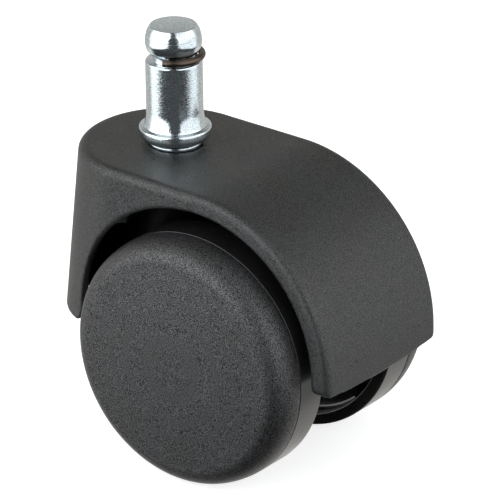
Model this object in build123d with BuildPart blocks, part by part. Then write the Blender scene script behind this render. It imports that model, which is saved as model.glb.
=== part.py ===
"""Hooded twin-wheel chair caster with an 11 mm grip-ring stem.

Frame: the origin is on the swivel axis at the foot of the plain shank, +Z runs up the stem, and +X points
backwards, to where the wheels trail. Left is -Y. Sizes are in millimetres.
"""

import os
from math import cos, radians, sin, tan

from build123d import *

# ---- stem -------------------------------------------------------------------------------------------------
SHANK_R = 5.5
SHANK_TOP = 9.5
SHOULDER_R = 0.5  # rounded upper end of the shank
GROOVE_R = 4.1
HEAD_Z = 13.6  # widest section of the ball head
HEAD_TUCK_R = 5.15  # half way round its underside
HEAD_TUCK_Z = 12.25
HEAD_FOOT = 11.4
HEAD_LIP_Z = 14.8  # fine turned line round the head
HEAD_LIP_R = 5.35
HEAD_SWELL_R = 5.05  # half way from that line to the flat top
HEAD_SWELL_Z = 16.0
STEM_TOP = 16.9
STEM_TOP_R = 4.45
FLARE_FOOT = -3.35
FLARE_R = 6.0
COLLAR_R = 7.0
COLLAR_ROUND = 0.6
COLLAR_SWELL_R = 6.8  # half way down the collar's rounded underside
COLLAR_SWELL_Z = -5.2
COLLAR_FOOT = -6.05
COLLAR_FOOT_R = 5.75
NECK_R = 5.0
NECK_FOOT = -6.35
SPINDLE_R = 4.0
SPINDLE_FOOT = -32.1
SPINDLE_CHAMFER = 0.8
SNAP_GROOVE_R = 3.4
SNAP_GROOVE_TOP = -24.1
SNAP_GROOVE_H = 1.3

# ---- spring rings: wire size, radius of the wire's centre, degrees of circle and where the cut begins ------
GRIP_WIRE = 1.4
GRIP_CENTRE_R = 5.4
GRIP_Z = 10.95
GRIP_START = -73.7
GRIP_ARC = 238.0
SNAP_WIRE = 1.0
SNAP_CENTRE_R = 4.1
SNAP_Z = -24.75
SNAP_START = 30.0
SNAP_ARC = 300.0

# ---- hood -------------------------------------------------------------------------------------------------
HOOD_WIDTH = 35.85
WALL = 2.0
NOSE_LEVEL = -5.0
NOSE_X = -0.55  # centre of the round nose at NOSE_LEVEL
NOSE_RAKE = 0.121  # how far that centre moves forward for each millimetre down
HOOD_DEPTH = 50.0  # rough block that the side outline trims
HOOD_BACK = 70.0
TOP_FALL = 1.6  # degrees that the flat top falls towards the rear
FENDER_R = 31.4
FENDER_X = 17.2
FENDER_Z = -39.1
ARCH_R = 27.7
ARCH_X = 17.1
SKIRT_FOOT = -41.9  # lower edge of the nose
SKIRT_CORNER = 2.7  # where that edge turns up into the arch
TAIL_FOOT = -42.65  # lowest point of the fender's bowed lower edge
TAIL_SIDE = -41.6  # the same edge at the hood's sides
TAIL_CORNER = 1.8
RIDGE_ROUND = 1.7
WEB_THICK = 4.0
WEB_OUTLINE = [(-17.9, -9), (-21.2, -42), (-9, -46), (12, -50), (25, -48), (29, -38), (30.6, -12.5), (18, -9.3)]
CROSS_RIB_THICK = 1.8
CROSS_RIB_FOOT = -18.0
SOCKET_BOSS_R = 8.0
SOCKET_BOSS_FOOT = -36.5
AXLE_BOSS_R = 6.5
AXLE_BOSS_HALF = 8.0

# ---- bush in the socket, and the disc that the stem's end rests on ----------------------------------------
BUSH_BORE_R = 4.05
BUSH_R = 4.7
BUSH_FLANGE_R = 5.2
BUSH_TOP = -6.5
BUSH_SEAT = -8.05
BUSH_FOOT = -24.0
BUSH_LIP = 0.4
DISC_R = 4.6
DISC_TOP = -32.2
DISC_THICK = 1.2
SPOT_FACE_GAP = 0.05

# ---- axle and wheels; "in" and "out" are distances from the centre plane -----------------------------------
AXLE_X = 17.8
AXLE_Z = -40.7
AXLE_R = 3.0
AXLE_HALF = 20.4
AXLE_CHAMFER = 0.5
WASHER_IN = 8.05
WASHER_THICK = 0.5
WASHER_R = 5.6
WASHER_BORE_R = 3.1
HUB_IN = 8.65
HUB_OUT = 18.2
HUB_R = 6.0
HUB_BORE_R = 3.06
WHEEL_R = 25.0
TREAD_IN = 11.07
TREAD_OUT = 18.07
TREAD_ROUND = 0.5
RIM_BORE_R = 22.6
DISC_IN = 14.2
DISC_OUT = 16.0
RIB_COUNT = 8
RIB_THICK = 1.4
RIB_IN = 12.6
COVER_CORNER_R = 4.0  # the cover's rounded edge, measured in towards the axle
COVER_CORNER_Y = 6.7  # and the same edge measured outwards along the axle
COVER_CROWN = 0.95
COVER_WALL = 1.6
COVER_SPIGOT_R = 22.5
COVER_SPIGOT_IN = 16.1
COVER_SPIGOT_WALL = 1.2
CLIP_R = 5.4
CLIP_IN = 18.45
CLIP_THICK = 0.8
CLIP_RIM = 1.3
CLIP_SLIT = 1.4
CLIP_SLITS = 6

os.makedirs("parts", exist_ok=True)


def save(builder, name):
    """Label a finished piece and write its STEP file."""
    builder.part.label = name
    export_step(builder.part, f"parts/{name}.step")


def plan_of_hood(inset):
    """Horizontal outline of the hood at the level of its top: a round nose and straight sides."""
    half = HOOD_WIDTH / 2 - inset
    with BuildSketch(Plane.XY.offset(NOSE_LEVEL)) as outline:
        with BuildLine():
            Polyline((NOSE_X, half), (HOOD_BACK, half), (HOOD_BACK, -half), (NOSE_X, -half))
            ThreePointArc((NOSE_X, -half), (NOSE_X - half, 0), (NOSE_X, half))
        make_face()
    return outline.sketch.face()


def side_of_hood(inset, foot):
    """Side outline: a nearly flat top running into the fender's arc, which ends in a short upright."""
    radius = FENDER_R - inset
    fall = radians(TOP_FALL)
    front = -HOOD_WIDTH
    rear = FENDER_X + radius
    meet = (FENDER_X + radius * sin(fall), FENDER_Z + radius * cos(fall))
    brow = (front, meet[1] + (meet[0] - front) * tan(fall))
    with BuildSketch(Plane.XZ) as outline:
        with BuildLine():
            Line(brow, meet)
            RadiusArc(meet, (rear, FENDER_Z), radius)
            Polyline((rear, FENDER_Z), (rear, foot), (front, foot), brow)
        make_face()
    return outline.sketch.face()


def raked_block(inset, foot):
    """The hood's outer form, or its hollow when inset by the wall: the raked plan trimmed by the side outline."""
    with BuildPart() as block:
        extrude(plan_of_hood(inset), amount=HOOD_DEPTH, dir=(-NOSE_RAKE, 0, -1))
        extrude(side_of_hood(inset, foot), amount=HOOD_WIDTH, both=True, mode=Mode.INTERSECT)
    return block.part


# Hood: outer shell, wheel arches, and the centre web with its stem socket and axle boss, in one moulding
with BuildPart() as hood:
    add(raked_block(0, SKIRT_FOOT))
    with BuildSketch(Plane.YZ.offset(FENDER_X)) as below_tail:
        with BuildLine():
            Polyline(
                (HOOD_WIDTH / 2, TAIL_SIDE),
                (HOOD_WIDTH / 2, -HOOD_DEPTH),
                (-HOOD_WIDTH / 2, -HOOD_DEPTH),
                (-HOOD_WIDTH / 2, TAIL_SIDE),
            )
            ThreePointArc((-HOOD_WIDTH / 2, TAIL_SIDE), (0, TAIL_FOOT), (HOOD_WIDTH / 2, TAIL_SIDE))
        make_face()
    extrude(amount=HOOD_BACK, mode=Mode.SUBTRACT)
    flat_edges = hood.edges().filter_by(Axis.X)
    fillet(flat_edges.filter_by_position(Axis.Z, TAIL_SIDE - 0.01, TAIL_SIDE + 0.01), TAIL_CORNER)
    ridge = hood.edges().filter_by(lambda e: e.bounding_box().min.Z > TAIL_SIDE + TAIL_CORNER - 0.01)
    fillet(ridge - ridge.filter_by(Axis.Y), RIDGE_ROUND)
    add(raked_block(WALL, -HOOD_BACK), mode=Mode.SUBTRACT)
    # wheel arches: a round opening that runs straight down at the back and curves out into the nose's edge
    front_of_arch = ARCH_X - ARCH_R
    back_of_arch = ARCH_X + ARCH_R
    with BuildSketch(Plane.XZ) as arch:
        with BuildLine():
            Polyline(
                (back_of_arch, FENDER_Z),
                (back_of_arch, -HOOD_DEPTH),
                (front_of_arch - SKIRT_CORNER, -HOOD_DEPTH),
                (front_of_arch - SKIRT_CORNER, SKIRT_FOOT),
            )
            RadiusArc(
                (front_of_arch - SKIRT_CORNER, SKIRT_FOOT),
                (front_of_arch, SKIRT_FOOT + SKIRT_CORNER),
                -SKIRT_CORNER,
            )
            Line((front_of_arch, SKIRT_FOOT + SKIRT_CORNER), (front_of_arch, FENDER_Z))
            ThreePointArc((front_of_arch, FENDER_Z), (ARCH_X, FENDER_Z + ARCH_R), (back_of_arch, FENDER_Z))
        make_face()
    extrude(amount=HOOD_WIDTH, both=True, mode=Mode.SUBTRACT)
    # centre web, its outline buried halfway into the nose wall and the fender
    with BuildSketch(Plane.XZ) as web:
        with BuildLine():
            Polyline(*WEB_OUTLINE, close=True)
        make_face()
    extrude(amount=WEB_THICK / 2, both=True)
    with BuildSketch(Plane.XZ) as axle_boss:
        with Locations((AXLE_X, AXLE_Z)):
            Circle(AXLE_BOSS_R)
    extrude(amount=AXLE_BOSS_HALF, both=True)
    boss_height = BUSH_SEAT - WALL / 2 - SOCKET_BOSS_FOOT
    with BuildSketch(Plane.XY.offset(SOCKET_BOSS_FOOT)) as socket_boss:
        Circle(SOCKET_BOSS_R)
    extrude(amount=boss_height)
    # cross rib from wall to wall above the wheels, through the socket boss
    with BuildSketch(Plane.YZ) as cross_rib:
        with Locations((0, CROSS_RIB_FOOT)):
            Rectangle(HOOD_WIDTH - WALL, BUSH_SEAT - WALL / 2 - CROSS_RIB_FOOT, align=(Align.CENTER, Align.MIN))
    extrude(amount=CROSS_RIB_THICK / 2, both=True)
    # stem socket from above, with a spot face for the bush's flange
    with BuildSketch(Plane.XY.offset(BUSH_SEAT)) as spot_face:
        Circle(BUSH_FLANGE_R + SPOT_FACE_GAP)
    extrude(amount=WALL, mode=Mode.SUBTRACT)
    with BuildSketch(Plane.XY.offset(BUSH_SEAT)) as socket:
        Circle(BUSH_R)
    extrude(amount=DISC_TOP - DISC_THICK - BUSH_SEAT, mode=Mode.SUBTRACT)
    with BuildSketch(Plane.XZ) as axle_hole:
        with Locations((AXLE_X, AXLE_Z)):
            Circle(AXLE_R)
    extrude(amount=HOOD_WIDTH, both=True, mode=Mode.SUBTRACT)
save(hood, "hood")

# Stem: ball head, grip-ring groove, shank, flared collar and the spindle that turns in the socket
with BuildPart() as stem:
    with BuildSketch(Plane.XZ) as stem_half:
        with BuildLine():
            crown = Polyline((0, SPINDLE_FOOT), (0, STEM_TOP), (STEM_TOP_R, STEM_TOP))
            lip = ThreePointArc(crown @ 1, (HEAD_SWELL_R, HEAD_SWELL_Z), (HEAD_LIP_R, HEAD_LIP_Z))
            head = Spline(lip @ 1, (SHANK_R, HEAD_Z), tangents=[(0.12, -1), (0, -1)])
            tuck = ThreePointArc(head @ 1, (HEAD_TUCK_R, HEAD_TUCK_Z), (GROOVE_R, HEAD_FOOT))
            shelf = Polyline(
                tuck @ 1,
                (GROOVE_R, SHANK_TOP + SHOULDER_R),
                (SHANK_R - SHOULDER_R, SHANK_TOP + SHOULDER_R),
            )
            shoulder = RadiusArc(shelf @ 1, (SHANK_R, SHANK_TOP), SHOULDER_R)
            shank = Line(shoulder @ 1, (SHANK_R, 0))
            flare = TangentArc(shank @ 1, (FLARE_R, FLARE_FOOT), tangent=(0, -1))
            collar_top = Line(flare @ 1, (COLLAR_R - COLLAR_ROUND, FLARE_FOOT))
            rim = RadiusArc(collar_top @ 1, (COLLAR_R, FLARE_FOOT - COLLAR_ROUND), COLLAR_ROUND)
            under = ThreePointArc(rim @ 1, (COLLAR_SWELL_R, COLLAR_SWELL_Z), (COLLAR_FOOT_R, COLLAR_FOOT))
            foot = Polyline(
                under @ 1,
                (NECK_R, COLLAR_FOOT),
                (NECK_R, NECK_FOOT),
                (SPINDLE_R, NECK_FOOT),
                (SPINDLE_R, SPINDLE_FOOT + SPINDLE_CHAMFER),
                (SPINDLE_R - SPINDLE_CHAMFER, SPINDLE_FOOT),
                (0, SPINDLE_FOOT),
            )
        make_face()
        with Locations((SNAP_GROOVE_R, SNAP_GROOVE_TOP)):
            Rectangle(SPINDLE_R, SNAP_GROOVE_H, align=(Align.MIN, Align.MAX), mode=Mode.SUBTRACT)
    revolve(axis=Axis.Z)
save(stem, "stem")


def open_ring(wire, centre_r, z, start, arc):
    """Round spring wire bent into a ring that is open between its two cut ends."""
    with BuildPart() as ring:
        with BuildLine(Plane.XY.offset(z)):
            bend = CenterArc((0, 0), centre_r, start, arc)
        with BuildSketch(Plane(origin=bend @ 0, z_dir=bend % 0)):
            Circle(wire / 2)
        sweep(path=bend)
    return ring


grip_ring = open_ring(GRIP_WIRE, GRIP_CENTRE_R, GRIP_Z, GRIP_START, GRIP_ARC)
save(grip_ring, "grip_ring")
snap_ring = open_ring(SNAP_WIRE, SNAP_CENTRE_R, SNAP_Z, SNAP_START, SNAP_ARC)
save(snap_ring, "stem_snap_ring")

# Flanged steel bush that the spindle turns in
with BuildPart() as bush:
    with BuildSketch(Plane.XZ) as bush_half:
        with BuildLine():
            Polyline(
                (BUSH_BORE_R, BUSH_TOP),
                (BUSH_FLANGE_R - BUSH_LIP, BUSH_TOP),
                (BUSH_FLANGE_R, BUSH_TOP - BUSH_LIP),
                (BUSH_FLANGE_R, BUSH_SEAT),
                (BUSH_R, BUSH_SEAT),
                (BUSH_R, BUSH_FOOT),
                (BUSH_BORE_R, BUSH_FOOT),
                close=True,
            )
        make_face()
    revolve(axis=Axis.Z)
save(bush, "stem_bush")

# Thrust disc at the bottom of the socket
with BuildPart() as thrust_disc:
    with BuildSketch(Plane.XY.offset(DISC_TOP - DISC_THICK)):
        Circle(DISC_R)
    extrude(amount=DISC_THICK)
save(thrust_disc, "thrust_disc")

# Axle pin, pressed through the hood's boss
with BuildPart() as axle:
    with BuildSketch(Plane.XZ):
        with Locations((AXLE_X, AXLE_Z)):
            Circle(AXLE_R)
    extrude(amount=AXLE_HALF, both=True)
    chamfer(axle.edges().filter_by(GeomType.CIRCLE), AXLE_CHAMFER)
save(axle, "axle")


def wheel_section(side):
    """Plane through the axle: local X is the radius and local Y runs outwards along the axle on that side."""
    return Plane(origin=(AXLE_X, 0, AXLE_Z), x_dir=(0, 0, 1), z_dir=(-side, 0, 0))


def wheel_face(side, out):
    """Plane square to the axle at the distance out from the centre plane, facing outwards."""
    return Plane(origin=(AXLE_X, side * out, AXLE_Z), z_dir=(0, side, 0))


def dome(plane, inset):
    """Half-section of the solid under the cover's domed face, with that face drawn in by the inset."""
    brow = (WHEEL_R - COVER_CORNER_R, TREAD_OUT + COVER_CORNER_Y - inset)
    crown_slope = -2 * COVER_CROWN / brow[0]
    with BuildSketch(plane) as section:
        with BuildLine():
            crown = Spline((0, brow[1] + COVER_CROWN), brow, tangents=[(1, 0), (1, crown_slope)])
            edge = Spline(crown @ 1, (WHEEL_R - inset, TREAD_OUT), tangents=[(1, crown_slope), (0, -1)])
            Polyline(edge @ 1, (0, TREAD_OUT), crown @ 0)
        make_face()
    return section.sketch.face()


axle_line = Axis((AXLE_X, 0, AXLE_Z), (0, 1, 0))
for side, name in ((-1, "left"), (1, "right")):
    # Thrust washer between the hood's boss and the wheel's hub
    with BuildPart() as washer:
        with BuildSketch(wheel_face(side, WASHER_IN)):
            Circle(WASHER_R)
            Circle(WASHER_BORE_R, mode=Mode.SUBTRACT)
        extrude(amount=WASHER_THICK)
    save(washer, f"{name}_thrust_washer")

    # Wheel: tread band, disc and hub in one moulding, open towards the centre and stiffened by low ribs
    with BuildPart() as wheel:
        with BuildSketch(wheel_section(side)):
            with BuildLine():
                Polyline(
                    (HUB_BORE_R, HUB_IN),
                    (HUB_R, HUB_IN),
                    (HUB_R, DISC_IN),
                    (RIM_BORE_R, DISC_IN),
                    (RIM_BORE_R, TREAD_IN),
                    (WHEEL_R, TREAD_IN),
                    (WHEEL_R, TREAD_OUT),
                    (RIM_BORE_R, TREAD_OUT),
                    (RIM_BORE_R, DISC_OUT),
                    (HUB_R, DISC_OUT),
                    (HUB_R, HUB_OUT),
                    (HUB_BORE_R, HUB_OUT),
                    close=True,
                )
            make_face()
        revolve(axis=axle_line)
        tread_edges = wheel.edges().filter_by(GeomType.CIRCLE).filter_by(lambda e: e.radius == WHEEL_R)
        fillet(tread_edges.sort_by(lambda e: side * e.center().Y)[:1], TREAD_ROUND)
        with BuildSketch(wheel_face(side, RIB_IN)):
            with PolarLocations((HUB_R + RIM_BORE_R) / 2, RIB_COUNT):
                Rectangle(RIM_BORE_R - HUB_R + RIB_THICK / 2, RIB_THICK)
        extrude(amount=(DISC_IN + DISC_OUT) / 2 - RIB_IN)
    save(wheel, f"{name}_wheel")

    # Domed cover: a thin shell with a spigot that snaps into the wheel's rim
    with BuildPart() as cover:
        revolve(dome(wheel_section(side), 0), axis=axle_line)
        revolve(dome(wheel_section(side), COVER_WALL), axis=axle_line, mode=Mode.SUBTRACT)
        with BuildSketch(wheel_face(side, TREAD_OUT)):
            Circle(WHEEL_R - COVER_WALL / 2)
            Circle(COVER_SPIGOT_R - COVER_SPIGOT_WALL, mode=Mode.SUBTRACT)
        extrude(amount=COVER_SPIGOT_WALL)
        with BuildSketch(wheel_face(side, COVER_SPIGOT_IN)):
            Circle(COVER_SPIGOT_R)
            Circle(COVER_SPIGOT_R - COVER_SPIGOT_WALL, mode=Mode.SUBTRACT)
        extrude(amount=TREAD_OUT - COVER_SPIGOT_IN)
    save(cover, f"{name}_wheel_cover")

    # Push-on retainer: a dished disc whose slit inner edge bites on the end of the axle
    with BuildPart() as clip:
        with BuildSketch(wheel_face(side, CLIP_IN)):
            Circle(CLIP_R)
            Circle(AXLE_R, mode=Mode.SUBTRACT)
            with PolarLocations(AXLE_R, CLIP_SLITS):
                Rectangle(2 * CLIP_SLIT, CLIP_SLIT / 2, mode=Mode.SUBTRACT)
        extrude(amount=CLIP_THICK)
        with BuildSketch(wheel_face(side, CLIP_IN)):
            Circle(CLIP_R)
            Circle(CLIP_R - CLIP_THICK, mode=Mode.SUBTRACT)
        extrude(amount=CLIP_RIM)
    save(clip, f"{name}_axle_clip")
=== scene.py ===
"""Hooded twin-wheel chair caster in plain soft studio light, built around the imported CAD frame."""

from math import cos, pi, radians, sin

import bmesh
import bpy
import numpy as np
from mathutils import Matrix, Vector


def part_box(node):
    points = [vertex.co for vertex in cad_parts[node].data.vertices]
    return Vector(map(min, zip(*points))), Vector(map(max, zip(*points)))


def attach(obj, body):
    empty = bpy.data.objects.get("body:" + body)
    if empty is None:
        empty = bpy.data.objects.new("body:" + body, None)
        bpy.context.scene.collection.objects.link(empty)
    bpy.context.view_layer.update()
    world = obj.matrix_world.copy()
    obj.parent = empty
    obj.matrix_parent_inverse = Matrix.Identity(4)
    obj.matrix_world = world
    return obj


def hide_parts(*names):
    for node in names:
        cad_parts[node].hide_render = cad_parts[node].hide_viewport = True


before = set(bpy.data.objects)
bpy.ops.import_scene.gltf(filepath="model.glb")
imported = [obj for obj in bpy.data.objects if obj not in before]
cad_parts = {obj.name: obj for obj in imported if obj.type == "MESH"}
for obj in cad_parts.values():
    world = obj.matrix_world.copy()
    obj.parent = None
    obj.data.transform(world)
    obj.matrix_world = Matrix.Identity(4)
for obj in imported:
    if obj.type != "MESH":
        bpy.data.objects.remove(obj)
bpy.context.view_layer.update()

MM = 0.001
SEGMENTS = 192  # round a turned piece

# Places taken from the CAD nodes, in millimetres
wheel_low, wheel_high = [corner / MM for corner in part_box("left_wheel")]
stem_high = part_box("stem")[1] / MM
hood_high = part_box("hood")[1] / MM
AXLE = ((wheel_low.x + wheel_high.x) / 2, 0.0, (wheel_low.z + wheel_high.z) / 2)
WHEEL_R = (wheel_high.x - wheel_low.x) / 2
FLOOR_Z = wheel_low.z


# ---- mesh making -----------------------------------------------------------------------------------------
def mesh_object(name, points_mm, faces):
    """A smooth-shaded object from points in millimetres."""
    mesh = bpy.data.meshes.new(name)
    mesh.from_pydata((np.asarray(points_mm, float) * MM).tolist(), [], faces)
    mesh.validate()
    mesh.polygons.foreach_set("use_smooth", [True] * len(mesh.polygons))
    mesh.update()
    piece = bpy.data.objects.new(name, mesh)
    bpy.context.scene.collection.objects.link(piece)
    return piece


def even_normals(piece):
    """Large flat faces keep their own shading beside small rounded edges."""
    weighted = piece.modifiers.new("even_normals", "WEIGHTED_NORMAL")
    weighted.keep_sharp = True


def rounded(corners, steps=5):
    """Closed outline of (radius, height, rounding) corners, with each corner turned into an arc."""
    outline = []
    count = len(corners)
    for i, (r, h, rounding) in enumerate(corners):
        here = np.array([r, h])
        back = np.array(corners[i - 1][:2]) - here
        ahead = np.array(corners[(i + 1) % count][:2]) - here
        to_back, to_ahead = back / np.hypot(*back), ahead / np.hypot(*ahead)
        if rounding == 0:
            outline.append(here)
            continue
        half = np.arccos(np.clip(to_back @ to_ahead, -1, 1)) / 2
        reach = rounding / np.tan(half)
        centre = here + (to_back + to_ahead) / np.hypot(*(to_back + to_ahead)) * rounding / np.sin(half)
        start, end = here + to_back * reach - centre, here + to_ahead * reach - centre
        sweep = np.arctan2(start[0] * end[1] - start[1] * end[0], start @ end)
        for k in range(steps + 1):
            turn = sweep * k / steps
            outline.append(centre + [start[0] * cos(turn) - start[1] * sin(turn),
                                     start[0] * sin(turn) + start[1] * cos(turn)])
    return np.array(outline)


def turned(name, outline, centre, along, segments=SEGMENTS):
    """Solid of revolution, from (radius, distance along the axis) points, about an axis through centre."""
    along = np.array(along, float)
    across = np.array([0, 0, 1.0]) if abs(along[2]) < 0.5 else np.array([1.0, 0, 0])
    side = np.cross(along, across)
    points, rings = [], []
    for r, h in outline:
        if r < 1e-6:
            rings.append([len(points)] * segments)
            points.append(np.array(centre) + along * h)
            continue
        rings.append(list(range(len(points), len(points) + segments)))
        for k in range(segments):
            turn = 2 * pi * k / segments
            points.append(np.array(centre) + along * h + (across * cos(turn) + side * sin(turn)) * r)
    faces = []
    for a, b in zip(rings, rings[1:] + rings[:1]):
        if len(set(a)) == 1 and len(set(b)) == 1:
            continue
        for k in range(segments):
            corners = [a[k], a[(k + 1) % segments], b[(k + 1) % segments], b[k]]
            faces.append([c for i, c in enumerate(corners) if c != corners[i - 1]])
    piece = mesh_object(name, points, faces)
    outward(piece)
    return piece


def outward(piece):
    """Face normals point out of the solid."""
    work = bmesh.new()
    work.from_mesh(piece.data)
    bmesh.ops.recalc_face_normals(work, faces=work.faces)
    work.to_mesh(piece.data)
    work.free()


# ---- solids from distance fields, for the mouldings with blended edges -----------------------------------
def both(a, b, rounding):
    """Where two solids overlap, with the edge between them rounded."""
    corner = np.hypot(np.maximum(a + rounding, 0), np.maximum(b + rounding, 0))
    return np.minimum(np.maximum(a, b), -rounding) + corner


def either(a, b, rounding):
    """Two solids joined, with a fillet between them."""
    return -both(-a, -b, rounding)


def contour(name, field, low, high, pitch):
    """Closed mesh of the field's zero surface: one vertex per crossed grid cell, settled onto the surface."""
    axes = [np.arange(a, b + pitch, pitch) for a, b in zip(low, high)]
    value = field(*np.meshgrid(*axes, indexing="ij"))
    inside = value < 0
    shape = np.array(value.shape) - 1
    total, weight = np.zeros((*shape, 3)), np.zeros(shape)
    corners = [(i, j, k) for i in (0, 1) for j in (0, 1) for k in (0, 1)]
    for a in corners:
        for axis in range(3):
            if a[axis]:
                continue
            b = tuple(1 if n == axis else a[n] for n in range(3))
            va = value[tuple(slice(a[n], a[n] + shape[n]) for n in range(3))]
            vb = value[tuple(slice(b[n], b[n] + shape[n]) for n in range(3))]
            crossed = (va < 0) != (vb < 0)
            share = np.where(crossed, va / np.where(va == vb, 1, va - vb), 0)
            for n in range(3):
                total[..., n] += crossed * (a[n] + (share if n == axis else 0))
            weight += crossed
    active = weight > 0
    index = np.full(shape, -1)
    index[active] = np.arange(active.sum())
    cells = np.argwhere(active)
    points = (cells + total[active] / weight[active][:, None]) * pitch + np.array(low)
    for _ in range(4):
        step = pitch / 40
        here = field(*points.T)
        slope = np.stack([
            (field(*(points + step * unit).T) - field(*(points - step * unit).T)) / (2 * step)
            for unit in np.eye(3)
        ], axis=1)
        move = -here[:, None] * slope / np.maximum((slope**2).sum(1), 0.25)[:, None]
        length = np.linalg.norm(move, axis=1, keepdims=True)
        points += move * np.minimum(1, 0.5 * pitch / np.maximum(length, 1e-9))
    faces = []
    for axis in range(3):
        u, v = (axis + 1) % 3, (axis + 2) % 3
        first = [slice(None)] * 3
        second = [slice(None)] * 3
        first[axis], second[axis] = slice(0, -1), slice(1, None)
        crossing = np.argwhere(inside[tuple(first)] != inside[tuple(second)])
        crossing = crossing[(crossing[:, u] > 0) & (crossing[:, v] > 0)
                            & (crossing[:, u] < shape[u]) & (crossing[:, v] < shape[v])]
        leaving = inside[tuple(first)][tuple(crossing.T)]
        unit_u, unit_v = np.eye(3, dtype=int)[u], np.eye(3, dtype=int)[v]
        quad = np.stack([index[tuple((crossing - shift).T)]
                         for shift in (0 * unit_u, unit_u, unit_u + unit_v, unit_v)], axis=1)
        quad[~leaving] = quad[~leaving][:, ::-1]
        faces.append(quad)
    return mesh_object(name, points, np.concatenate(faces).tolist())


# ---- the hood --------------------------------------------------------------------------------------------
HOOD_HALF = hood_high.y
WALL = 2.0
FENDER_R = 31.4
FENDER = (hood_high.x - FENDER_R, -39.1)
TOP_FALL = radians(1.6)
NOSE_LEVEL = -5.0
NOSE_X = -0.55
NOSE_RAKE = 0.121
ARCH_X = 17.1
ARCH_R = 27.7
SKIRT_FOOT = -41.9
SKIRT_CORNER = 2.7
TAIL_FOOT = -42.65
TAIL_SIDE = -41.6
TAIL_BOW_R = (HOOD_HALF**2 + (TAIL_SIDE - TAIL_FOOT) ** 2) / (2 * (TAIL_SIDE - TAIL_FOOT))
TAIL_CORNER = 1.8
OUTER_ROUND = 1.7
HOLLOW_ROUND = 0.8
EDGE_ROUND = 0.5
ARCH_EDGE = 0.45
ARCH_TAIL_ROUND = 1.3
WEB_OUTLINE = [
    (-17.9, -9), (-21.2, -42), (-9, -46), (12, -50), (25, -48), (29, -38), (30.6, -12.5), (18, -9.3),
]
WEB_HALF = 2.0
AXLE_BOSS_R, AXLE_BOSS_HALF = 6.5, 8.0
SOCKET_BOSS_R, SOCKET_BOSS_FOOT = 8.0, -36.5
CROSS_RIB_HALF, CROSS_RIB_FOOT = 0.9, -18.0
INNER_TOP = -9.0  # the web, boss and rib end inside the roof
INNER_EDGE, FILLET = 0.4, 0.8
MOUTH_R, MOUTH_FOOT = 5.25, -8.05
SOCKET_R, SOCKET_FOOT = 4.7, -33.4
AXLE_R = 3.0
GRID = 0.45
GRID_LOW, GRID_HIGH = (-24.0, -18.6, -51.0), (49.2, 18.6, -6.2)


def hood_block(x, y, z, inset, rounding):
    """The hood's outer form, or its hollow when inset by the wall."""
    half, radius = HOOD_HALF - inset, FENDER_R - inset
    back = (x - FENDER[0]) * cos(TOP_FALL) - (z - FENDER[1]) * sin(TOP_FALL)
    up = (x - FENDER[0]) * sin(TOP_FALL) + (z - FENDER[1]) * cos(TOP_FALL)
    over = np.where(back > 0, np.hypot(back, up), up) - radius
    over = np.where((z < FENDER[1]) & (back > 0), x - FENDER[0] - radius, over)
    nose = x - (NOSE_X - NOSE_RAKE * (NOSE_LEVEL - z))
    plan = np.where(nose < 0, np.hypot(np.minimum(nose, 0), y), np.abs(y)) - half
    return both(over, plan, rounding)


def polygon(x, z, corners):
    """Distance field of a convex outline, by its sides."""
    middle = np.mean(corners, axis=0)
    field = None
    for a, b in zip(corners, corners[1:] + corners[:1]):
        normal = np.array([b[1] - a[1], a[0] - b[0]]) / np.hypot(b[0] - a[0], b[1] - a[1])
        if normal @ (middle - a) > 0:
            normal = -normal
        side = (x - a[0]) * normal[0] + (z - a[1]) * normal[1]
        field = side if field is None else np.maximum(field, side)
    return field


def hood_field(x, y, z):
    """The hood: a hollow shell with open arches, and the web, bosses and rib inside it."""
    outer = hood_block(x, y, z, 0, OUTER_ROUND)
    tail_edge = TAIL_FOOT + TAIL_BOW_R - np.sqrt(TAIL_BOW_R**2 - y**2)
    foot = np.where(x > ARCH_X, tail_edge, SKIRT_FOOT) - z
    tail_corner = both(np.abs(y) - HOOD_HALF, foot, TAIL_CORNER)
    outer = both(outer, np.where(x > ARCH_X, tail_corner, foot), EDGE_ROUND)
    shell = both(outer, -hood_block(x, y, z, WALL, HOLLOW_ROUND), 0.3)
    arch = np.where(z > FENDER[1], np.hypot(x - ARCH_X, z - FENDER[1]), np.abs(x - ARCH_X)) - ARCH_R
    shell = both(shell, both(-arch, foot, np.where(x > ARCH_X, ARCH_TAIL_ROUND, SKIRT_CORNER)), ARCH_EDGE)
    web = both(polygon(x, z, WEB_OUTLINE), np.abs(y) - WEB_HALF, INNER_EDGE)
    from_axle = np.hypot(x - AXLE[0], z - AXLE[2])
    from_stem = np.hypot(x, y)
    axle_boss = both(from_axle - AXLE_BOSS_R, np.abs(y) - AXLE_BOSS_HALF, INNER_EDGE)
    socket_boss = both(from_stem - SOCKET_BOSS_R, np.maximum(SOCKET_BOSS_FOOT - z, z - INNER_TOP), FILLET)
    rib_ends = np.maximum(np.maximum(CROSS_RIB_FOOT - z, z - INNER_TOP), np.abs(y) - HOOD_HALF + 1)
    cross_rib = both(np.abs(x) - CROSS_RIB_HALF, rib_ends, 0.3)
    inner = either(either(either(web, axle_boss, FILLET), socket_boss, FILLET), cross_rib, FILLET)
    solid = either(shell, inner, FILLET)
    solid = np.maximum(solid, np.minimum(MOUTH_R - from_stem, z - MOUTH_FOOT))
    solid = np.maximum(solid, np.minimum(SOCKET_R - from_stem, z - SOCKET_FOOT))
    return np.maximum(solid, AXLE_R - from_axle)


# ---- materials -------------------------------------------------------------------------------------------
def material(name, colour, roughness, metallic=0.0):
    """A new material, with its node tree and its Principled shader."""
    made = bpy.data.materials.new(name)
    made.use_nodes = True
    tree = made.node_tree
    shader = tree.nodes["Principled BSDF"]
    shader.inputs["Base Color"].default_value = (*colour, 1)
    shader.inputs["Roughness"].default_value = roughness
    shader.inputs["Metallic"].default_value = metallic
    return made, tree, shader


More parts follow.
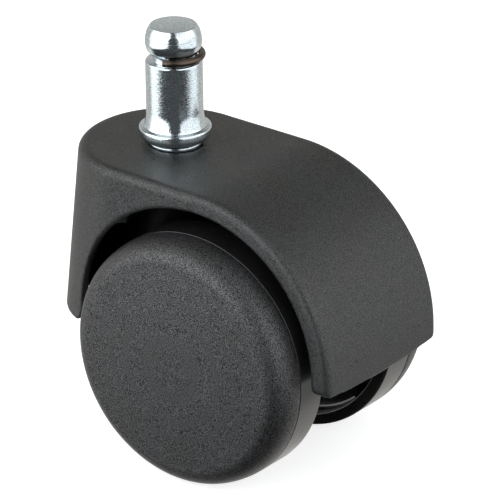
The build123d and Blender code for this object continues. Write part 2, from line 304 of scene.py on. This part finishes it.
def noise(tree, size_mm, detail=2.0, stretch=(1, 1, 1)):
    """Noise fixed to the piece, with features of about the given size; returns its value socket."""
    place = tree.nodes.new("ShaderNodeTexCoord")
    scale = tree.nodes.new("ShaderNodeMapping")
    scale.inputs["Scale"].default_value = stretch
    grain = tree.nodes.new("ShaderNodeTexNoise")
    grain.inputs["Scale"].default_value = 1 / (size_mm * MM)
    grain.inputs["Detail"].default_value = detail
    tree.links.new(place.outputs["Object"], scale.inputs["Vector"])
    tree.links.new(scale.outputs["Vector"], grain.inputs["Vector"])
    return grain.outputs["Fac"]


def remap(tree, value, low, high, from_low=0.3, from_high=0.7):
    """The value, spread from its usual range over low to high."""
    spread = tree.nodes.new("ShaderNodeMapRange")
    spread.inputs["From Min"].default_value = from_low
    spread.inputs["From Max"].default_value = from_high
    spread.inputs["To Min"].default_value = low
    spread.inputs["To Max"].default_value = high
    tree.links.new(value, spread.inputs["Value"])
    return spread.outputs["Result"]


def calc(tree, operation, a, b=0.0):
    """Sum, product or the like of two values, each a socket or a number."""
    node = tree.nodes.new("ShaderNodeMath")
    node.operation = operation
    for slot, value in zip(node.inputs, (a, b)):
        if isinstance(value, (int, float)):
            slot.default_value = value
        else:
            tree.links.new(value, slot)
    return node.outputs["Value"]


def ramp(tree, value, from_low, from_high, low=0.0, high=1.0):
    """Smooth step of the value between two levels."""
    spread = remap(tree, value, low, high, from_low, from_high)
    spread.node.interpolation_type = "SMOOTHSTEP"
    return spread


def blend_colours(tree, value, first, second):
    """A colour between two, by the value."""
    mix = tree.nodes.new("ShaderNodeMix")
    mix.data_type = "RGBA"
    mix.inputs["A"].default_value = (*first, 1)
    mix.inputs["B"].default_value = (*second, 1)
    tree.links.new(value, mix.inputs["Factor"])
    return mix.outputs["Result"]


def bump(tree, shader, height, depth_mm, under=None):
    """Relief of the given depth, on top of an earlier one if there is any."""
    relief = tree.nodes.new("ShaderNodeBump")
    relief.inputs["Distance"].default_value = depth_mm * MM
    tree.links.new(height, relief.inputs["Height"])
    if under:
        tree.links.new(under, relief.inputs["Normal"])
    tree.links.new(relief.outputs["Normal"], shader.inputs["Normal"])
    return relief.outputs["Normal"]


def moulded_nylon(name, first, second, roughness, grain_mm, depth_mm, sparkle, specular):
    """Black nylon: a spark-eroded grain that glints, and slight cloudiness in tone and sheen."""
    made, tree, shader = material(name, first, roughness)
    clouds = noise(tree, 9.0, 3.0)
    grain = noise(tree, grain_mm, 2.0)
    cloudy = blend_colours(tree, remap(tree, clouds, 0, 1), first, second)
    glint = tree.nodes.new("ShaderNodeMix")
    glint.data_type = "RGBA"
    glint.blend_type = "MULTIPLY"
    glint.inputs["Factor"].default_value = 1.0
    bright, dark = (1 + 2.2 * sparkle,) * 3, (1 - sparkle,) * 3
    tree.links.new(cloudy, glint.inputs["A"])
    glints = blend_colours(tree, remap(tree, grain, 0, 1, 0.42, 0.60), dark, bright)
    tree.links.new(glints, glint.inputs["B"])
    tree.links.new(glint.outputs["Result"], shader.inputs["Base Color"])
    tree.links.new(remap(tree, clouds, roughness - 0.04, roughness + 0.04), shader.inputs["Roughness"])
    sheen = remap(tree, grain, specular * (1 - sparkle), specular * (1 + 1.5 * sparkle), 0.42, 0.60)
    tree.links.new(sheen, shader.inputs["Specular IOR Level"])
    bump(tree, shader, grain, depth_mm)
    return made


def zinc(name):
    """Bright zinc plate: speckled, faintly clouded and slightly blue-green."""
    made, tree, shader = material(name, (0.78, 0.82, 0.83), 0.16, 1.0)
    clouds = noise(tree, 2.5, 3.0)
    speckle = noise(tree, 0.28, 3.0)
    cloudy = blend_colours(tree, remap(tree, clouds, 0, 1), (0.70, 0.81, 0.825), (0.82, 0.89, 0.93))
    spots = tree.nodes.new("ShaderNodeMix")
    spots.data_type = "RGBA"
    spots.blend_type = "MULTIPLY"
    spots.inputs["Factor"].default_value = 1.0
    tree.links.new(cloudy, spots.inputs["A"])
    spotted = blend_colours(tree, remap(tree, speckle, 0, 1, 0.40, 0.58), (0.74, 0.74, 0.76), (1.0, 1.0, 1.0))
    tree.links.new(spotted, spots.inputs["B"])
    tree.links.new(spots.outputs["Result"], shader.inputs["Base Color"])
    tree.links.new(remap(tree, speckle, 0.08, 0.18), shader.inputs["Roughness"])
    bump(tree, shader, speckle, 0.014)
    return made


def bronzed(name):
    """Browned spring wire, with drawing lines."""
    made, tree, shader = material(name, (0.16, 0.12, 0.09), 0.28, 1.0)
    lines = noise(tree, 0.3, 2.0, (1, 1, 4))
    tree.links.new(blend_colours(tree, remap(tree, lines, 0, 1), (0.075, 0.055, 0.042), (0.14, 0.11, 0.085)),
                   shader.inputs["Base Color"])
    bump(tree, shader, lines, 0.02)
    return made


def length_of(tree, a, b):
    """Length of a plane vector with the two parts."""
    squares = (calc(tree, "MULTIPLY", part, part) for part in (a, b))
    return calc(tree, "SQRT", calc(tree, "ADD", *squares))


def paint_shade_inside(made):
    """Painted shade in the hood's hollow, which light hardly reaches: a near-black colour and little sheen on
    its inner faces.
    """
    tree = made.node_tree
    shader = tree.nodes["Principled BSDF"]
    place = tree.nodes.new("ShaderNodeTexCoord")
    split = tree.nodes.new("ShaderNodeSeparateXYZ")
    tree.links.new(place.outputs["Object"], split.inputs["Vector"])
    x, y, z = (calc(tree, "DIVIDE", split.outputs[axis], MM) for axis in "XYZ")
    past = calc(tree, "MAXIMUM", calc(tree, "SUBTRACT", x, FENDER[0]), 0.0)
    above = calc(tree, "MAXIMUM", calc(tree, "SUBTRACT", z, FENDER[1]), 0.0)
    reach = length_of(tree, past, above)
    rake = calc(tree, "MULTIPLY", calc(tree, "SUBTRACT", NOSE_LEVEL, z), NOSE_RAKE)
    nose = calc(tree, "MINIMUM", calc(tree, "ADD", calc(tree, "SUBTRACT", x, NOSE_X), rake), 0.0)
    plan = length_of(tree, nose, y)
    inside = calc(tree, "MULTIPLY", ramp(tree, reach, FENDER_R - 1.4, FENDER_R - 1.0, 1.0, 0.0),
                  ramp(tree, plan, HOOD_HALF - 1.6, HOOD_HALF - 1.2, 1.0, 0.0))
    # Painted shade: the hollow's faces get a near-black base colour and a low specular level
    for name, painted_shade in (("Base Color", (0.004, 0.004, 0.004)), ("Specular IOR Level", (0.08, 0.08, 0.08))):
        link = shader.inputs[name].links[0].from_socket
        fade = tree.nodes.new("ShaderNodeMix")
        fade.data_type = "RGBA"
        tree.links.new(inside, fade.inputs["Factor"])
        tree.links.new(link, fade.inputs["A"])
        fade.inputs["B"].default_value = (*painted_shade, 1)
        tree.links.new(fade.outputs["Result"], shader.inputs[name])


hood_skin = moulded_nylon("hood_nylon", (0.021, 0.021, 0.0195), (0.022, 0.024, 0.0245), roughness=0.40,
                          grain_mm=0.17, depth_mm=0.05, sparkle=0.40, specular=0.55)
cover_skin = moulded_nylon("cover_nylon", (0.018, 0.018, 0.018), (0.022, 0.022, 0.0235), roughness=0.34,
                           grain_mm=0.19, depth_mm=0.09, sparkle=0.62, specular=0.6)
wheel_skin = moulded_nylon("wheel_nylon", (0.012, 0.012, 0.0115), (0.014, 0.014, 0.0135), roughness=0.27,
                           grain_mm=0.8, depth_mm=0.003, sparkle=0.0, specular=0.95)
# Painted shade inside the hood's hollow
paint_shade_inside(hood_skin)
zinc_plate = zinc("zinc_plate")
spring_wire = bronzed("bronzed_wire")


def dress(piece, skin, body, slot, *nodes):
    """Give a piece its material and its place in the frame."""
    piece.data.materials.clear()
    piece.data.materials.append(skin)
    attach(piece, body)
    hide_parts(*nodes)


# ---- pieces ----------------------------------------------------------------------------------------------
hood = contour("hood_moulding", hood_field, GRID_LOW, GRID_HIGH, GRID)
dress(hood, hood_skin, "hood", "hood_nylon", "hood")

STEM_TOP = stem_high.z
SHANK_R, SHOULDER_Z = 5.5, 10.0
GROOVE_R = 4.1
HEAD_FOOT = 11.4
HEAD_LINE = 14.8  # a scribed line round the head
FLARE_R, FLARE_TURN = 11.5, 0.2956
COLLAR_R, COLLAR_TOP, COLLAR_FOOT = 7.0, -3.4, -6.05
SPINDLE_R, SPINDLE_TOP, SPINDLE_TIP = 4.0, -6.35, -32.1
SNAP_R, SNAP_TOP, SNAP_FOOT = 3.4, -24.1, -25.4
flare = [
    (SHANK_R + FLARE_R - FLARE_R * cos(t), -FLARE_R * sin(t), 0) for t in np.linspace(0, FLARE_TURN, 9)
]
stem_outline = [
    (0, STEM_TOP, 0), (4.5, STEM_TOP, 0.12), (5.08, 15.95, 1.6),
    (5.37, HEAD_LINE + 0.06, 0.1), (5.31, HEAD_LINE, 0), (5.37, HEAD_LINE - 0.06, 0.1),
    (5.52, 13.6, 3.0), (5.2, 12.2, 1.2), (4.7, 11.5, 0.4), (GROOVE_R, HEAD_FOOT, 0.2),
    (GROOVE_R, SHOULDER_Z, 0.2), (SHANK_R, SHOULDER_Z, 0.45), *flare,
    (6.05, COLLAR_TOP, 0), (COLLAR_R, COLLAR_TOP, 0.5), (COLLAR_R, -4.85, 1.1), (6.5, -5.8, 0.6),
    (5.75, COLLAR_FOOT, 0.12), (5.0, COLLAR_FOOT, 0.1), (5.0, SPINDLE_TOP, 0.1),
    (SPINDLE_R, SPINDLE_TOP, 0.1), (SPINDLE_R, SNAP_TOP, 0.1), (SNAP_R, SNAP_TOP, 0.1),
    (SNAP_R, SNAP_FOOT, 0.1), (SPINDLE_R, SNAP_FOOT, 0.1), (SPINDLE_R, SPINDLE_TIP, 0.7), (0, SPINDLE_TIP, 0),
]
stem = turned("stem_turned", rounded(stem_outline), (0, 0, 0), (0, 0, 1))
even_normals(stem)
dress(stem, zinc_plate, "stem", "zinc_plated_steel", "stem")

BUSH_BORE_R, BUSH_R, BUSH_FLANGE_R = 4.05, SOCKET_R, 5.2
BUSH_TOP, BUSH_FOOT = -6.5, -24.0
bush_outline = [
    (BUSH_BORE_R, BUSH_TOP, 0.1), (BUSH_FLANGE_R, BUSH_TOP, 0.3), (BUSH_FLANGE_R, MOUTH_FOOT, 0),
    (BUSH_R, MOUTH_FOOT, 0), (BUSH_R, BUSH_FOOT, 0.1), (BUSH_BORE_R, BUSH_FOOT, 0.1),
]
bush = turned("bush_drawn", rounded(bush_outline), (0, 0, 0), (0, 0, 1))
even_normals(bush)
dress(bush, zinc_plate, "hood", "zinc_plated_steel", "stem_bush")


def wire_ring(name, wire, centre_r, z, start, arc):
    """Open ring of round wire with slightly rounded cut ends, all in millimetres and degrees."""
    around, along = 32, 160
    points, rings = [], []
    for k in range(along + 1):
        turn = radians(start + arc * k / along)
        rings.append(list(range(len(points), len(points) + around)))
        for j in range(around):
            lean = 2 * pi * j / around
            r = centre_r + wire / 2 * cos(lean)
            points.append((r * cos(turn), r * sin(turn), z + wire / 2 * sin(lean)))
    faces = [[a[j], a[(j + 1) % around], b[(j + 1) % around], b[j]]
             for a, b in zip(rings, rings[1:]) for j in range(around)]
    faces += [rings[0][::-1], rings[-1]]
    ring = mesh_object(name, points, faces)
    outward(ring)
    edge = ring.modifiers.new("cut_edge", "BEVEL")
    edge.width = 0.1 * MM
    edge.segments = 3
    edge.limit_method = "ANGLE"
    edge.angle_limit = radians(50)
    even_normals(ring)
    return ring


GRIP_WIRE, GRIP_CENTRE_R, GRIP_Z = 1.4, 5.4, 10.95
GRIP_START, GRIP_ARC = -73.7, 238.0
grip = wire_ring("grip_ring_wire", GRIP_WIRE, GRIP_CENTRE_R, GRIP_Z, GRIP_START, GRIP_ARC)
dress(grip, spring_wire, "grip_ring", "bronzed_spring_wire", "grip_ring")

# Distances from the middle of the piece, along the axle, and radii about it
TREAD_IN, TREAD_OUT = 11.07, 18.07
CORNER_R, CORNER_Y, CROWN = 4.0, 6.7, 0.95
COVER_WALL, COVER_INSIDE = 1.6, 19.27
SPIGOT_R, SPIGOT_BORE_R, SPIGOT_FOOT = 22.5, 21.3, 16.1
RIM_BORE_R = 22.6
BORE_R, HUB_R = 3.06, 6.0
HUB_IN, HUB_OUT = 8.65, 18.2
DISC_IN, DISC_OUT = 14.2, 16.0
WHEEL_RIBS = 8
RIB_MIDDLE_R, RIB_MIDDLE = 14.3, 13.45
RIB_SIZE = (16.8, 1.7, 1.4)


def dome(inset, steps=28):
    """The cover's outline from its middle to its edge: a low crown, then a rounded corner."""
    brow_r, brow_y = WHEEL_R - CORNER_R, TREAD_OUT + CORNER_Y
    crown = [(r, brow_y + CROWN * (1 - (r / brow_r) ** 2) - inset) for r in np.linspace(0, brow_r, steps)]
    slope = -2 * CROWN / brow_r
    ahead = np.array([1, slope]) * CORNER_R * 0.6
    start, end = np.array([brow_r, brow_y - inset]), np.array([WHEEL_R - inset, TREAD_OUT + 0.25])
    reach = np.array([0, CORNER_Y * 0.6])
    corner = []
    for t in np.linspace(0, 1, steps)[1:]:
        corner.append((1 - t) ** 3 * start + 3 * (1 - t) ** 2 * t * (start + ahead)
                      + 3 * (1 - t) * t * t * (end + reach) + t**3 * end)
    return crown + [tuple(c) for c in corner]


def add_ribs(wheel, side):
    """Eight low radial ribs on the open face of a wheel's disc, sunk a little into hub, disc and rim."""
    work = bmesh.new()
    work.from_mesh(wheel.data)
    for k in range(WHEEL_RIBS):
        turn = Matrix.Rotation(2 * pi * k / WHEEL_RIBS, 4, "Y")
        out = Matrix.Translation(Vector((RIB_MIDDLE_R, side * RIB_MIDDLE, 0)) * MM)
        place = Matrix.Translation(Vector(AXLE) * MM) @ turn @ out
        size = Matrix.Diagonal((*(length * MM for length in RIB_SIZE), 1))
        bmesh.ops.create_cube(work, size=1, matrix=place @ size)
    work.to_mesh(wheel.data)
    work.free()


lip = [
    (WHEEL_R - 0.05, TREAD_OUT + 0.1), (WHEEL_R - 0.2, TREAD_OUT + 0.02), (SPIGOT_R, TREAD_OUT),
    (SPIGOT_R, SPIGOT_FOOT + 0.2), (SPIGOT_R - 0.2, SPIGOT_FOOT), (SPIGOT_BORE_R + 0.2, SPIGOT_FOOT),
    (SPIGOT_BORE_R, SPIGOT_FOOT + 0.2), (SPIGOT_BORE_R, COVER_INSIDE), (23.2, COVER_INSIDE),
]
inner_dome = [point for point in dome(COVER_WALL)[::-1] if point[1] > COVER_INSIDE + 0.03]
cover_outline = dome(0) + lip + inner_dome
wheel_outline = rounded([
    (BORE_R, HUB_IN, 0.2), (HUB_R, HUB_IN, 0.4), (HUB_R, DISC_IN, 0.8), (RIM_BORE_R, DISC_IN, 0.8),
    (RIM_BORE_R, TREAD_IN, 0.3), (WHEEL_R, TREAD_IN, 0.5), (WHEEL_R, TREAD_OUT, 0.12),
    (RIM_BORE_R, TREAD_OUT, 0.1), (RIM_BORE_R, DISC_OUT, 0.3), (HUB_R, DISC_OUT, 0.5), (HUB_R, HUB_OUT, 0.3),
    (BORE_R, HUB_OUT, 0.2),
])
for side, name in ((-1, "left"), (1, "right")):
    cover = turned(f"{name}_cover_dome", cover_outline, AXLE, (0, side, 0))
    even_normals(cover)
    dress(cover, cover_skin, f"{name}_wheel", "cover_nylon", f"{name}_wheel_cover")
    wheel = turned(f"{name}_wheel_rim", wheel_outline, AXLE, (0, side, 0))
    add_ribs(wheel, side)
    even_normals(wheel)
    dress(wheel, wheel_skin, f"{name}_wheel", "wheel_nylon", f"{name}_wheel")

for node, skin in {
    "stem_snap_ring": spring_wire, "thrust_disc": zinc_plate, "axle": zinc_plate,
    "left_thrust_washer": wheel_skin, "right_thrust_washer": wheel_skin,
    "left_axle_clip": zinc_plate, "right_axle_clip": zinc_plate,
}.items():
    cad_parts[node].data.materials.clear()
    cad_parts[node].data.materials.append(skin)

# ---- camera, floor and light -----------------------------------------------------------------------------
VIEW_AZIMUTH, VIEW_ELEVATION, VIEW_ROLL = radians(37.32), radians(23.8), radians(-0.8)
VIEW_DISTANCE = 0.9
VIEW_POINT = Vector((13.88, 4.80, -27.94)) * MM
LENS = 337.2
to_camera = Vector((sin(VIEW_AZIMUTH) * cos(VIEW_ELEVATION), -cos(VIEW_AZIMUTH) * cos(VIEW_ELEVATION),
                    sin(VIEW_ELEVATION)))
right = Vector((cos(VIEW_AZIMUTH), sin(VIEW_AZIMUTH), 0))
up = to_camera.cross(right)
tilted_right = right * cos(VIEW_ROLL) + up * sin(VIEW_ROLL)
tilted_up = up * cos(VIEW_ROLL) - right * sin(VIEW_ROLL)
camera_data = bpy.data.cameras.new("camera")
camera_data.lens = LENS
camera_data.sensor_width = 36
camera_data.clip_end = 100
camera = bpy.data.objects.new("camera", camera_data)
bpy.context.scene.collection.objects.link(camera)
turn = Matrix((tilted_right, tilted_up, to_camera)).transposed().to_4x4()
camera.matrix_world = Matrix.Translation(VIEW_POINT + to_camera * VIEW_DISTANCE) @ turn
bpy.context.scene.camera = camera
bpy.context.scene.view_settings.view_transform = "Standard"



def level_sheet(name, low, high, z):
    """One level rectangle between two corners."""
    corners = ((low[0], low[1]), (high[0], low[1]), (high[0], high[1]), (low[0], high[1]))
    return mesh_object(name, [(x, y, z) for x, y in corners], [[0, 1, 2, 3]])


FLOOR_HALF = 3000
floor = level_sheet("floor", (-FLOOR_HALF, -FLOOR_HALF), (FLOOR_HALF, FLOOR_HALF), FLOOR_Z)
floor_white, floor_tree, floor_shader = material("floor_white", (0.8, 0.8, 0.8), 0.9)
floor_shader.inputs["Emission Color"].default_value = (1, 1, 1, 1)
floor_shader.inputs["Emission Strength"].default_value = 0.72
floor.data.materials.append(floor_white)
floor.visible_glossy = False
floor.visible_diffuse = False

# A dark card that the camera doesn't see stands in for the shaded floor under the piece
card = level_sheet("shaded_floor", (-14, -15), (29, 15), FLOOR_Z - 0.2)
card.data.materials.append(material("card_black", (0.02, 0.02, 0.02), 0.9)[0])
card.visible_camera = False
card.visible_shadow = False

# Soft light from a tent: a bright wall on either side of the camera, meeting overhead, a dim one behind the
# piece, and little from below. The camera itself sees white.
world = bpy.data.worlds.new("studio")
bpy.context.scene.world = world
world.use_nodes = True
sky = world.node_tree
around = sky.nodes.new("ShaderNodeTexCoord").outputs["Generated"]


def dot(vector):
    """How far a direction points along the vector."""
    node = sky.nodes.new("ShaderNodeVectorMath")
    node.operation = "DOT_PRODUCT"
    node.inputs[1].default_value = vector
    sky.links.new(around, node.inputs[0])
    return node.outputs["Value"]


# Brightness of each wall, of the dark gap between the side walls, and of the floor behind the piece
LEFT_WALL, RIGHT_WALL, BACK_WALL, GAP, BACK_FLOOR = 1.75, 1.2, 0.58, 0.08, 0.75
height = dot((0, 0, 1))
ahead = dot((sin(VIEW_AZIMUTH), -cos(VIEW_AZIMUTH), 0))
across = dot(right)
gap_low = ramp(sky, height, -0.45, -0.1, 0.55, 0.0)
gap_half = calc(sky, "ADD", gap_low, ramp(sky, height, -0.1, 0.9, 0.36, 0.14))
past_gap = calc(sky, "SUBTRACT", calc(sky, "ABSOLUTE", calc(sky, "ADD", across, 0.01)), gap_half)
walls = calc(sky, "MULTIPLY", ramp(sky, past_gap, -0.03, 0.04),
             ramp(sky, across, -0.1, 0.1, LEFT_WALL - GAP, RIGHT_WALL - GAP))
walls = calc(sky, "MULTIPLY", walls, ramp(sky, height, -0.1, 0.4, 1.0, 1.5))
walls = calc(sky, "MULTIPLY", walls, ramp(sky, height, 0.45, 0.85, 1.0, 0.45))
facing = ramp(sky, ahead, -0.45, -0.05)
behind = ramp(sky, height, 0.2, 0.85, BACK_WALL, 0.15 * BACK_WALL)
behind = calc(sky, "ADD", behind, ramp(sky, height, -0.65, -0.4, BACK_FLOOR, 0.0))
level = calc(sky, "ADD", calc(sky, "MULTIPLY", calc(sky, "ADD", walls, GAP), facing),
             calc(sky, "MULTIPLY", calc(sky, "SUBTRACT", 1.0, facing), behind))
level = calc(sky, "MULTIPLY", level, ramp(sky, height, -0.98, -0.3, 0.4, 1.0))
camera_ray = sky.nodes.new("ShaderNodeLightPath").outputs["Is Camera Ray"]
level = calc(sky, "MAXIMUM", level, camera_ray)
tint = calc(sky, "MAXIMUM", facing, camera_ray)
background = sky.nodes["Background"]
sky.links.new(blend_colours(sky, tint, (1.0, 0.98, 0.94), (0.98, 1.0, 1.02)), background.inputs["Color"])
sky.links.new(level, background.inputs["Strength"])
